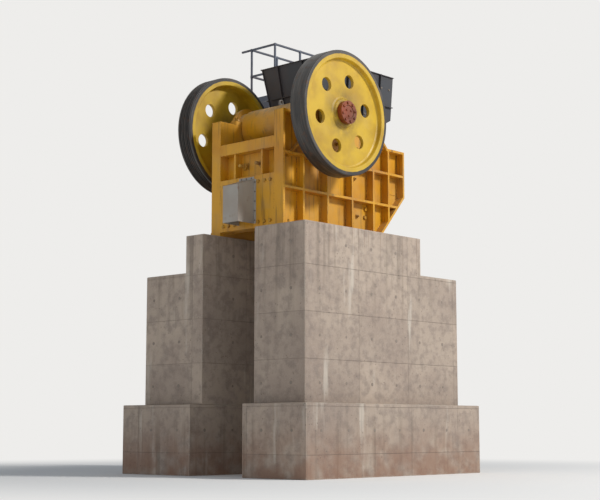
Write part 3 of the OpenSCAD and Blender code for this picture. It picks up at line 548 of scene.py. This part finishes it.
# Thickness of the chute's liners, how far in from their edges the plug bolts stand, and the plugs' profiles
LINER_T = 12
LINER_PLUG_IN = 55
PLUG_COLLAR = ((-1, 19), (4, 16))
PLUG_HEAD = ((3, 10), (7, 10))


def any_turn():
    """The angle at which a spanner left a bolt's head."""
    return random.uniform(0, 1)


def bolt(bm, place, axis, size, turn=0.0):
    """A hexagon bolt head on a washer, for a thread of a diameter in millimetres."""
    matrix = turned(place, axis) @ Matrix.Rotation(turn, 4, "Z")
    lathe(bm, matrix, WASHER, size=size)
    lathe(bm, matrix, HEAD, 6, size)


def stud(bm, place, axis, size, reach):
    """A thread that stands out by its reach, with a nut on a square plate washer that lies level."""
    matrix = turned(place, axis) @ Matrix.Rotation(math.radians(45), 4, "Z")
    lathe(bm, matrix, SQUARE_WASHER, 4, size)
    lathe(bm, matrix, NUT, 6, size)
    turns = math.ceil((reach / size - 1) / THREAD_PITCH)
    thread = [(0.9, 0.44)]
    for i in range(turns):
        thread += [(1 + i * THREAD_PITCH, 0.44), (1 + (i + 0.5) * THREAD_PITCH, 0.50)]
    thread.append((1 + turns * THREAD_PITCH, 0.40))
    lathe(bm, matrix, thread, 12, size)


def ring_of_bolts(bm, side, y, radius, count, size, start=0.0):
    """Bolt heads that look out of one side of the machine, on a circle round the shaft."""
    centre = at(0, side * y, SHAFT_Z)
    for i in range(count):
        angle = start + i * math.tau / count
        place = centre + radius * MM * Vector((math.cos(angle), 0, math.sin(angle)))
        bolt(bm, place, side * ACROSS, size, any_turn())


def bead(bm, p, q, first, second):
    """A rippled fillet weld from p to q in the corner of two faces that run along first and second."""
    run = q - p
    steps = max(2, int(run.length / RIPPLE))
    rows = []
    for i in range(steps + 1):
        swell = WELD * (1.0 + random.uniform(-UNEVEN, UNEVEN))
        spot = p + run * (i / steps)
        crown = spot + 0.62 * swell * (first + second)
        rows.append([spot, spot + swell * first, crown, spot + swell * second])
    loft(bm, rows)


def liner(bm, plugs, origin, u, v, corners):
    """A wear plate on a face, from corner to corner along its own u and v, with four plug bolts."""
    lay = Matrix((u, v, u.cross(v))).transposed().to_4x4()
    lay.translation = origin
    left, right, low, high = corners
    middle = MM * Vector(((left + right) / 2, (low + high) / 2, LINER_T / 2))
    size = Matrix.Diagonal((MM * (right - left), MM * (high - low), MM * LINER_T, 1.0))
    bmesh.ops.create_cube(bm, size=1.0, matrix=lay @ Matrix.Translation(middle) @ size)
    for a in (left + LINER_PLUG_IN, right - LINER_PLUG_IN):
        for b in (low + LINER_PLUG_IN, high - LINER_PLUG_IN):
            spot = lay @ Matrix.Translation(MM * Vector((a, b, LINER_T)))
            lathe(plugs, spot, PLUG_COLLAR)
            lathe(plugs, spot, PLUG_HEAD, 6)


# Sizes of the machine in millimetres: the walls' outline comes from the near side wall's box
wall_low, wall_high = mm_box("near_side_wall")
REAR = wall_low.x
FRONT = wall_high.x
WALL_IN = -wall_high.y
WALL_H = wall_high.z
SHAFT_Z = (SHAFT.z - BASE_Z) / MM
# Plates of the side walls, their ribs and base flange, and how far the flange stands out
WALL_T = 60
RIB_T = 40
BASE_T = 50
BASE_OUT = 240
WALL_OUT = WALL_IN + WALL_T
# The side wall's front: where its base ends, the corners of its top, and the brow's and chin's heights
BASE_FRONT = 1500
SHOULDER = 1550
BROW = 1800
BROW_Z = WALL_H - 250
CHIN_Z = 850
# Lowest edges of the side wall's level ribs, and rear edges of its uprights
LEVELS = (0.34 * WALL_H, 0.63 * WALL_H)
UPRIGHTS = [REAR + share * (FRONT - REAR) for share in (0.15, 0.34, 0.54, 0.72)]
# Half the length of the bearing's cap, and the cap's height
CAP_HALF = 440
CAP_H = 70
# The recess in the rear wall
RECESS = 180
# The chute's plate, its flare, its lower edges, and the lower end of its slide
CHUTE_T = 12
CHUTE_FLARE = 90
CHUTE_LOW_Y = WALL_IN - 40
CHUTE_LOW_X = 470
CHUTE_REAR_X = 220
FOOT_Z = WALL_H + CHUTE_T
SLIDE_LOW = (1440, 40)
# The piers' upper steps: where they end in front, how far down the shelf lies, and the far one's width
PLINTH_FRONT = 1620
SHELF = 600
FAR_PLINTH = 400
# The landing's posts: their width, near corners and feet, and their flat ties with the levels of both ends
POST = 100
POST_X = (1440, 2440)
POST_Y = (1490, 1770)
POST_FOOT_T = 12
TIE_T = 10
TIES = (180 - SHELF, WALL_H + 654)


# Side walls

# Threads of the bolts through the walls, and of those that hold plates to them
WALL_BOLT = 36
PLATE_BOLT = 30
# Anchors in a base flange: how many, where the first stands and their pitch, how far in from the flange's
# edge, and how far their threads reach out
ANCHORS = (9, REAR + 70, 270)
ANCHOR_IN = 55
ANCHOR_REACH = 85
# Bolts into the rear wall: how far in from the side wall's end, and their heights
REAR_BOLT_IN = 120
REAR_BOLTS = (180, 420, 560, 800, 1010, 1120, 1350, 1560, 1740)
# Bolts into the front wall: their line's place at the ground and its lean, and their heights
FRONT_BOLT_X = 1287
FRONT_LEAN = 0.112
FRONT_BOLTS = (420, 560)
# Studs of the cheek plates, as places along the wall and up it, and how far they reach out
CHEEK_STUDS = ((640, 1560), (1120, 1560), (700, 1040), (1060, 1040), (960, 780), (1130, 420), (960, 420))
CHEEK_REACH = 55


def bolt_side_wall(side, name):
    """Anchor studs in the base flange, and the bolts of the rear wall, front wall and cheek plate."""
    out = side * ACROSS
    bm = bmesh.new()
    for x in row(*ANCHORS):
        stud(bm, at(x, side * (WALL_OUT + BASE_OUT - ANCHOR_IN), BASE_T), UP, WALL_BOLT, ANCHOR_REACH)
    for z in REAR_BOLTS:
        bolt(bm, at(REAR + REAR_BOLT_IN, side * WALL_OUT, z), out, WALL_BOLT, any_turn())
    for z in FRONT_BOLTS:
        bolt(bm, at(FRONT_BOLT_X + FRONT_LEAN * z, side * WALL_OUT, z), out, WALL_BOLT, any_turn())
    for x, z in CHEEK_STUDS:
        stud(bm, at(x, side * WALL_OUT, z), out, PLATE_BOLT, CHEEK_REACH)
    piece_of(bm, name + "_wall_bolts", PAINTED, "crusher")


def weld_side_wall(side, name):
    """Fillet welds round each bay between the ribs and uprights, and along the ribs at the top and front."""
    out = side * ACROSS
    face = side * WALL_OUT
    top = WALL_H - RIB_T
    bays = (REAR, *UPRIGHTS, BROW, FRONT - RIB_T)
    bm = bmesh.new()

    def seam(start, end, along):
        """A weld between two places on the wall, each given along it and up it."""
        bead(bm, at(start[0], face, start[1]), at(end[0], face, end[1]), along, out)

    for left, right in zip(bays, bays[1:]):
        left += RIB_T
        for low, high in ((BASE_T, LEVELS[0]), (LEVELS[0] + RIB_T, LEVELS[1])):
            if right > BASE_FRONT and low == BASE_T:
                continue
            if right > BROW:
                low = CHIN_Z + BASE_T
            seam((left, low), (left, high), ALONG)
            seam((right, low), (right, high), -ALONG)
            seam((left, low), (right, low), UP)
            seam((left, high), (right, high), -UP)
    rear = REAR + RIB_T
    front = FRONT - RIB_T
    upper = LEVELS[1] + RIB_T
    seam((rear, upper), (BROW - RIB_T, upper), UP)
    seam((BROW + RIB_T, upper), (front, upper), UP)
    seam((rear, upper), (rear, top), ALONG)
    # Along the top, the welds run just under the bearing's cap and stop short of the shoulder
    seam((rear, top), (10 - CAP_HALF, top), -UP)
    seam((CAP_HALF - 10, top), (SHOULDER - 20, top), -UP)
    seam((front, CHIN_Z + BASE_T), (front, BROW_Z - BASE_T), -ALONG)
    bmesh.ops.recalc_face_normals(bm, faces=bm.faces)
    piece_of(bm, name + "_wall_welds", YELLOW, "crusher", smooth=True)


# Bearings and rotor

# Rings of bolts round the shaft: on a bearing's cover and flange, on a clamping ring and on a shaft cap
COVER_RING = {"radius": 266, "count": 12, "size": 24, "start": 0.1}
FLANGE_RING = {"radius": 360, "count": 8, "size": WALL_BOLT}
CLAMP_RING = {"radius": 148, "count": 8, "size": 24, "start": 0.2}
CAP_RING = {"radius": 62, "count": 3, "size": 20, "start": 0.5}
# The faces under the first two: a cover's rim from its inner end, and a housing's flange from the wall
COVER_RIM = 30
HOUSING_FLANGE = 105
# Studs of a bearing's cap: how far in from its ends, where they stand across the wall, and their reach
CAP_STUD = 34
CAP_STUD_IN = 68
CAP_STUDS = (WALL_IN + 32, WALL_IN + 88)
CAP_STUD_REACH = 75
# The greasing boss: its middle across the machine, its top above the shaft, and the nipple's two parts
BOSS_Y = WALL_OUT + 172
BOSS_TOP = 325
NIPPLE_FOOT = ((0, 14), (20, 14))
NIPPLE = ((18, 6), (33, 6), (35, 9), (42, 5))
# The painted cap on the shaft's end: its radius and thickness, and how far behind the ring's face it lies
CAP_R = 104
CAP_T = 8
CAP_BEHIND = 15


def dress_bearings():
    """Bolts on the covers, flanges and caps, and grease nipples on their bosses."""
    for side, name in SIDES:
        low, high = mm_box(name + "_bearing_cover")
        inner = min(abs(low.y), abs(high.y))
        bm = bmesh.new()
        ring_of_bolts(bm, side, inner + COVER_RIM, **COVER_RING)
        ring_of_bolts(bm, side, WALL_OUT + HOUSING_FLANGE, **FLANGE_RING)
        for x in (CAP_STUD_IN - CAP_HALF, CAP_HALF - CAP_STUD_IN):
            for y in CAP_STUDS:
                stud(bm, at(x, side * y, WALL_H + CAP_H), UP, CAP_STUD, CAP_STUD_REACH)
        piece_of(bm, name + "_bearing_bolts", PAINTED, "crusher")
        bm = bmesh.new()
        boss = turned(at(0, side * BOSS_Y, SHAFT_Z + BOSS_TOP), UP)
        lathe(bm, boss, NIPPLE_FOOT, 6)
        lathe(bm, boss, NIPPLE, 12)
        piece_of(bm, name + "_grease_nipple", BRASS, "crusher")


def dress_rotor():
    """Bolts on the clamping rings and the painted caps on the shaft's ends."""
    for side, name in SIDES:
        low, high = mm_box(name + "_clamp_ring")
        face = max(abs(low.y), abs(high.y))
        bm = bmesh.new()
        end = turned(at(0, side * (face - CAP_BEHIND), SHAFT_Z), side * ACROSS)
        lathe(bm, end, ((0, CAP_R), (CAP_T, CAP_R)), 48)
        rims = [edge for edge in bm.edges if edge.calc_face_angle(0) > math.radians(35)]
        bmesh.ops.bevel(bm, geom=rims, offset=3 * MM, segments=2, affect="EDGES", profile=0.5, material=-1)
        piece_of(bm, name + "_shaft_cap", PRIMER, "rotor")
        bm = bmesh.new()
        ring_of_bolts(bm, side, face, **CLAMP_RING)
        ring_of_bolts(bm, side, face - CAP_BEHIND + CAP_T, **CAP_RING)
        piece_of(bm, name + "_ring_bolts", PRIMER, "rotor")


# Rear wall

# Adjusting studs in the recess: how far off the middle plane, how high, their thread and their reach
ADJUSTER_Y = 180
ADJUSTER_Z = 1110
ADJUSTER = 56
ADJUSTER_REACH = 160
# Bolts beside the recess, as places across the wall and up it
BESIDE_Y = (-520, -400, -260, 260, 400, 520)
BESIDE_Z = (150, 0.42 * WALL_H)
# The spring guard's flange, and its bolts: thread, how far in from the ends, and those along the top
FLANGE_W = 42
FLANGE_T = 6
GUARD_BOLT = 12
GUARD_BOLT_IN = 50
GUARD_TOP_BOLTS = (-110, 0, 110)


def dress_rear():
    """Adjusting studs in the recess, bolts beside it, and the spring guard's flange with its small bolts."""
    low, high = mm_box("spring_guard")
    bm = bmesh.new()
    for y in (-ADJUSTER_Y, ADJUSTER_Y):
        stud(bm, at(REAR + RECESS, y, ADJUSTER_Z), -ALONG, ADJUSTER, ADJUSTER_REACH)
    for y in BESIDE_Y:
        for z in BESIDE_Z:
            bolt(bm, at(REAR, y, z), -ALONG, PLATE_BOLT, any_turn())
    piece_of(bm, "rear_wall_bolts", PAINTED, "crusher")

    bm = bmesh.new()
    face = REAR - FLANGE_T
    for inner, outer in ((-high.y - FLANGE_W, -high.y), (high.y, high.y + FLANGE_W)):
        slab(bm, (face, inner, low.z), (REAR, outer, high.z))
    slab(bm, (face, low.y, high.z), (REAR, high.y, high.z + FLANGE_W))
    piece_of(bm, "guard_flange", GREY_SHEET, "crusher", edge=1.5)

    bm = bmesh.new()
    for side, _ in SIDES:
        for z in row(5, low.z + GUARD_BOLT_IN, (high.z - low.z - 2 * GUARD_BOLT_IN) / 4):
            bolt(bm, at(face, side * (high.y + FLANGE_W / 2), z), -ALONG, GUARD_BOLT)
    for y in GUARD_TOP_BOLTS:
        bolt(bm, at(face, y, high.z + FLANGE_W / 2), -ALONG, GUARD_BOLT)
    piece_of(bm, "guard_bolts", FASTENER, "crusher")


# Chute

# Bolts of the chute's feet and of its sides: how many, where the first stands, and their pitch
FOOT_BOLTS = (7, 520, 155)
SIDE_BOLTS = (8, 620, 205)
# Their threads, and how far out from the wall those of the feet stand
FOOT_BOLT = 20
SIDE_BOLT = 18
FOOT_BOLT_OUT = 32
# Heights of the sides' two rows of bolts above the walls; in front only the upper one goes on
SIDE_BOLT_ROWS = (330, 850)
# Liners on a side wall: rear and front edge, and low and high edge up the leaning plate
SIDE_LINERS = ((540, 900, 60, 520), (910, 1290, 60, 520), (390, 780, 530, 1030),
               (790, 1200, 530, 1030), (1210, 1620, 530, 1030), (1630, 2090, 530, 1030))
# Edges of the liners across the rear wall and the slide, and up them
REAR_LINERS = (((-525, -5), (5, 525)), ((50, 530), (540, 1040)))
SLIDE_LINERS = (((-525, -180), (-175, 175), (180, 525)), ((30, 400), (410, 780)))


def bolt_chute(side, name, lean):
    """Bolts along the foot of the chute's side wall and up its corners."""
    out = Vector((0, side * math.cos(lean), -math.sin(lean)))
    bm = bmesh.new()
    for x in row(*FOOT_BOLTS):
        bolt(bm, at(x, side * (WALL_OUT + FOOT_BOLT_OUT), FOOT_Z), UP, FOOT_BOLT, any_turn())
    for x in row(*SIDE_BOLTS):
        for rise in SIDE_BOLT_ROWS if x < BASE_FRONT else SIDE_BOLT_ROWS[1:]:
            y = CHUTE_LOW_Y + (rise - CHUTE_T) * math.tan(lean)
            bolt(bm, at(x, side * y, WALL_H + rise), out, SIDE_BOLT, any_turn())
    piece_of(bm, "chute_" + name + "_bolts", FASTENER, "crusher")


def line_chute(lean, chute_top):
    """Wear liners on the chute's side walls, rear wall and slide, held by plug bolts."""
    bm = bmesh.new()
    plugs = bmesh.new()
    for side, _ in SIDES:
        up_plate = Vector((0, side * math.sin(lean), math.cos(lean)))
        origin = at(0, side * (CHUTE_LOW_Y - CHUTE_T / math.cos(lean)), FOOT_Z)
        for rear, front, low, high in SIDE_LINERS:
            edges = sorted((side * rear, side * front))
            liner(bm, plugs, origin, side * ALONG, up_plate, (*edges, low, high))
    up_rear = Vector((CHUTE_REAR_X - CHUTE_LOW_X, 0, chute_top - FOOT_Z)).normalized()
    origin = at(CHUTE_LOW_X, 0, FOOT_Z) + ACROSS.cross(up_rear) * CHUTE_T * MM
    for across in REAR_LINERS[0]:
        for rise in REAR_LINERS[1]:
            liner(bm, plugs, origin, ACROSS, up_rear, (*across, *rise))
    _, slide_high = mm_box("chute_slide")
    origin = at(SLIDE_LOW[0], 0, WALL_H + SLIDE_LOW[1])
    up_slide = Vector((slide_high.x - SLIDE_LOW[0], 0, slide_high.z - WALL_H - SLIDE_LOW[1])).normalized()
    for across in SLIDE_LINERS[0]:
        for rise in SLIDE_LINERS[1]:
            liner(bm, plugs, origin, -ACROSS, up_slide, (*across, *rise))
    piece_of(bm, "chute_liners", LINER, "crusher", edge=3)
    piece_of(plugs, "chute_liner_plugs", FASTENER, "crusher")


def dress_chute():
    """Bolts outside the chute and liners inside it."""
    _, high = mm_box("chute_near_wall")
    lean = math.atan2(CHUTE_FLARE, high.z - FOOT_Z)
    for side, name in SIDES:
        bolt_chute(side, name, lean)
    line_chute(lean, high.z)


# Landing

# The grating: gaps between its bearing bars, half a bar's thickness, how deep the bars hang between the
# beams, the beams' width, and the cross bars with how far in the first lies
BAR_GAPS = 38
BAR_HALF = 2.5
BAR_DROP = 24
BEAM = 52
CROSS_BARS = 7
CROSS_IN = 40
TOE_H = 100
TOE_T = 4
# Slit between the toe boards' outside and the deck's edge
TOE_IN = 0.5
# The rails' tube, and profiles of the sockets at their feet and of the sleeves where they cross
TUBE_R = 21
SOCKET = ((0, 23.5), (76, 23.5), (78, 22.0))
SLEEVE = ((-30, 24.0), (-28, 25.5), (18, 25.5))
# Anchors of the posts: how far out from the post they stand, their thread and their reach
POST_ANCHOR_OUT = 25
POST_ANCHOR = 18
POST_ANCHOR_REACH = 40
# Gusset plates: length, height and thickness, how far the lowest lies above its tie, their bolts' thread,
# and the bolts' places from the post's edge and the plate's middle
GUSSET = (150, 220, 8)
GUSSET_RISE = 30
GUSSET_BOLT = 15
GUSSET_BOLTS = ((45, 0), (45, 70), (45, -70), (108, 0))


def lay_grating(low, high):
    """Bar grating in place of the plain deck, deep between its beams and thin over them."""
    bm = bmesh.new()
    # Each bar's deep part is a hair thinner than its upper one, so that no faces coincide
    thin = BAR_HALF - 0.1
    for x in row(BAR_GAPS + 1, low.x + 4, (high.x - low.x - 8) / BAR_GAPS):
        slab(bm, (x - BAR_HALF, low.y + 2, low.z + 1), (x + BAR_HALF, high.y - 2, high.z - 1))
        slab(bm, (x - thin, low.y + BEAM, low.z - BAR_DROP), (x + thin, high.y - BEAM, low.z + 3))
    for y in row(CROSS_BARS, low.y + CROSS_IN, (high.y - low.y - 2 * CROSS_IN) / (CROSS_BARS - 1)):
        slab(bm, (low.x + 2, y - 3, low.z + 0.5), (high.x - 2, y + 3, high.z - 2))
    for y in (low.y + 1, high.y - 6):
        slab(bm, (low.x + 1, y, low.z), (high.x - 1, y + 5, high.z))
    grating = piece_of(bm, "walkway_grating", GALVANISED, "crusher")
    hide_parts("walkway_deck")


def fix_toe_boards(low, high):
    """Toe boards along both sides and the rear of the deck; its front is the way in."""
    bm = bmesh.new()
    top = high.z + TOE_H
    inner = TOE_IN + TOE_T
    for y in (low.y + TOE_IN, high.y - inner):
        slab(bm, (low.x + TOE_IN, y, high.z), (high.x, y + TOE_T, top))
    slab(bm, (low.x + TOE_IN + 0.4, low.y + inner, high.z), (low.x + inner, high.y - inner, top))
    piece_of(bm, "walkway_toe_boards", RAIL, "crusher", edge=1.5)


def socket_rails(deck_top):
    """Sockets under the handrail's posts, and sleeves where its rails pass them."""
    bm = bmesh.new()
    for node in ("rail_inner", "rail_outer"):
        low, high = mm_box(node)
        y = (low.y + high.y) / 2
        for x in (low.x + TUBE_R, (low.x + high.x) / 2, high.x - TUBE_R):
            lathe(bm, turned(at(x, y, deck_top), UP), SOCKET, 24)
            for z in (high.z - TUBE_R, (high.z + deck_top) / 2):
                lathe(bm, turned(at(x, y, z), UP), SLEEVE, 24)
    piece_of(bm, "rail_sockets", RAIL, "crusher")


def anchor_posts():
    """Four anchor studs through the foot of each post."""
    bm = bmesh.new()
    for x0 in POST_X:
        for y0 in POST_Y:
            for x in (x0 - POST_ANCHOR_OUT, x0 + POST + POST_ANCHOR_OUT):
                for y in (y0, y0 + POST):
                    stud(bm, at(x, y, POST_FOOT_T - SHELF), UP, POST_ANCHOR, POST_ANCHOR_REACH)
    piece_of(bm, "post_anchor_bolts", FASTENER, "crusher")


def gusset_posts():
    """A bolted gusset plate where each diagonal of the posts' bracing meets a tie."""
    length, height, thick = GUSSET
    faces = ((POST_Y[0] + (POST - TIE_T) / 2, -1), (POST_Y[1] + (POST + TIE_T) / 2, 1))
    ends = ((POST_X[0] + POST, 1), (POST_X[1], -1))
    bm = bmesh.new()
    bolts = bmesh.new()
    for y, side in faces:
        for level, z in enumerate(row(4, TIES[0] + GUSSET_RISE, (TIES[1] - TIES[0]) / 3)):
            x, run = ends[level % 2]
            x0, x1 = sorted((x, x + run * length))
            y0, y1 = sorted((y, y + side * thick))
            slab(bm, (x0, y0, z - height / 2), (x1, y1, z + height / 2))
            for u, v in GUSSET_BOLTS:
                place = at(x + run * u, y + side * thick, z + v)
                bolt(bolts, place, side * ACROSS, GUSSET_BOLT, any_turn())
    piece_of(bm, "post_gussets", RAIL, "crusher", edge=1.5)
    piece_of(bolts, "post_gusset_bolts", FASTENER, "crusher")


def dress_landing():
    """The landing's grating, toe boards, rail sockets, anchors and gussets."""
    low, high = mm_box("walkway_deck")
    lay_grating(low, high)
    fix_toe_boards(low, high)
    socket_rails(high.z)
    anchor_posts()
    gusset_posts()


# Foundation

# Mortar beds: rings along the base flange, how far in under its edge and out from it they reach, and the
# height of their crest
BED_RINGS = 60
BED_IN = 10
BED_OUT = 38
BED_CREST = 12
# Form ties stand no nearer than this to a block's edge, in metres
TIE_EDGE = 0.09


def bed_base():
    """The mortar beds that the base flanges lie on, squeezed out along their edges."""
    for side, name in SIDES:
        bm = bmesh.new()
        edge = side * (WALL_OUT + BASE_OUT)
        within = edge - side * BED_IN
        rows = []
        for x in row(BED_RINGS + 1, REAR, (BASE_FRONT - REAR) / BED_RINGS):
            crest = at(x, edge, BED_CREST + random.uniform(-3, 6))
            foot = at(x, edge + side * (BED_OUT + random.uniform(-9, 9)), 0.5)
            rows.append([at(x, within, 0.5), at(x, within, 10), crest, foot])
        loft(bm, rows)
        bmesh.ops.recalc_face_normals(bm, faces=bm.faces)
        piece_of(bm, name + "_mortar_bed", CONCRETE, "crusher", smooth=True)


def plug(bm, place, axis):
    """A trowelled patch a little proud of the concrete."""
    radius = 24 + random.uniform(-3, 5)
    lathe(bm, turned(place, axis), ((-1, radius), (3, radius - 4)), 16)


def plug_form_ties():
    """Mortar plugs over the form ties, in rows half-way between the form panels' seams."""
    near_low, near_high = mm_box("near_pier")
    far_low, far_high = mm_box("far_pier")
    blocks = [mm_box("near_footing"), mm_box("far_footing"),
              (near_low, (near_high.x, near_high.y, -SHELF)),
              ((near_low.x, near_low.y, -SHELF), (PLINTH_FRONT, near_high.y, 0)),
              (far_low, (far_high.x, far_high.y, -SHELF)),
              ((far_low.x, far_low.y, -SHELF), (PLINTH_FRONT, far_low.y + FAR_PLINTH, 0))]
    bm = bmesh.new()
    # The rows and places are enough for the highest and longest block
    for block_low, block_high in blocks:
        low = at(*block_low)
        high = at(*block_high)
        for z in row(5, FORM_H, FORM_H):
            if not low.z + TIE_EDGE < z < high.z - TIE_EDGE:
                continue
            for along in row(25, FORM_START - 11.5 * FORM_W / 2, FORM_W / 2):
                for y, out in ((low.y, -1), (high.y, 1)):
                    if low.x + TIE_EDGE < along + y < high.x - TIE_EDGE:
                        plug(bm, (along + y, y, z), out * ACROSS)
                for x, out in ((low.x, -1), (high.x, 1)):
                    if low.y + TIE_EDGE < x - along < high.y - TIE_EDGE:
                        plug(bm, (x, x - along, z), out * ALONG)
    piece_of(bm, "form_tie_plugs", MORTAR, "crusher")


make_camera()
finish_nodes()
make_floor()
make_sky()
make_lamps()

random.seed(7)
for side, name in SIDES:
    bolt_side_wall(side, name)
    weld_side_wall(side, name)
dress_bearings()
dress_rotor()
dress_rear()
dress_chute()
dress_landing()
bed_base()
plug_form_ties()

bpy.context.scene.view_settings.view_transform = "Standard"
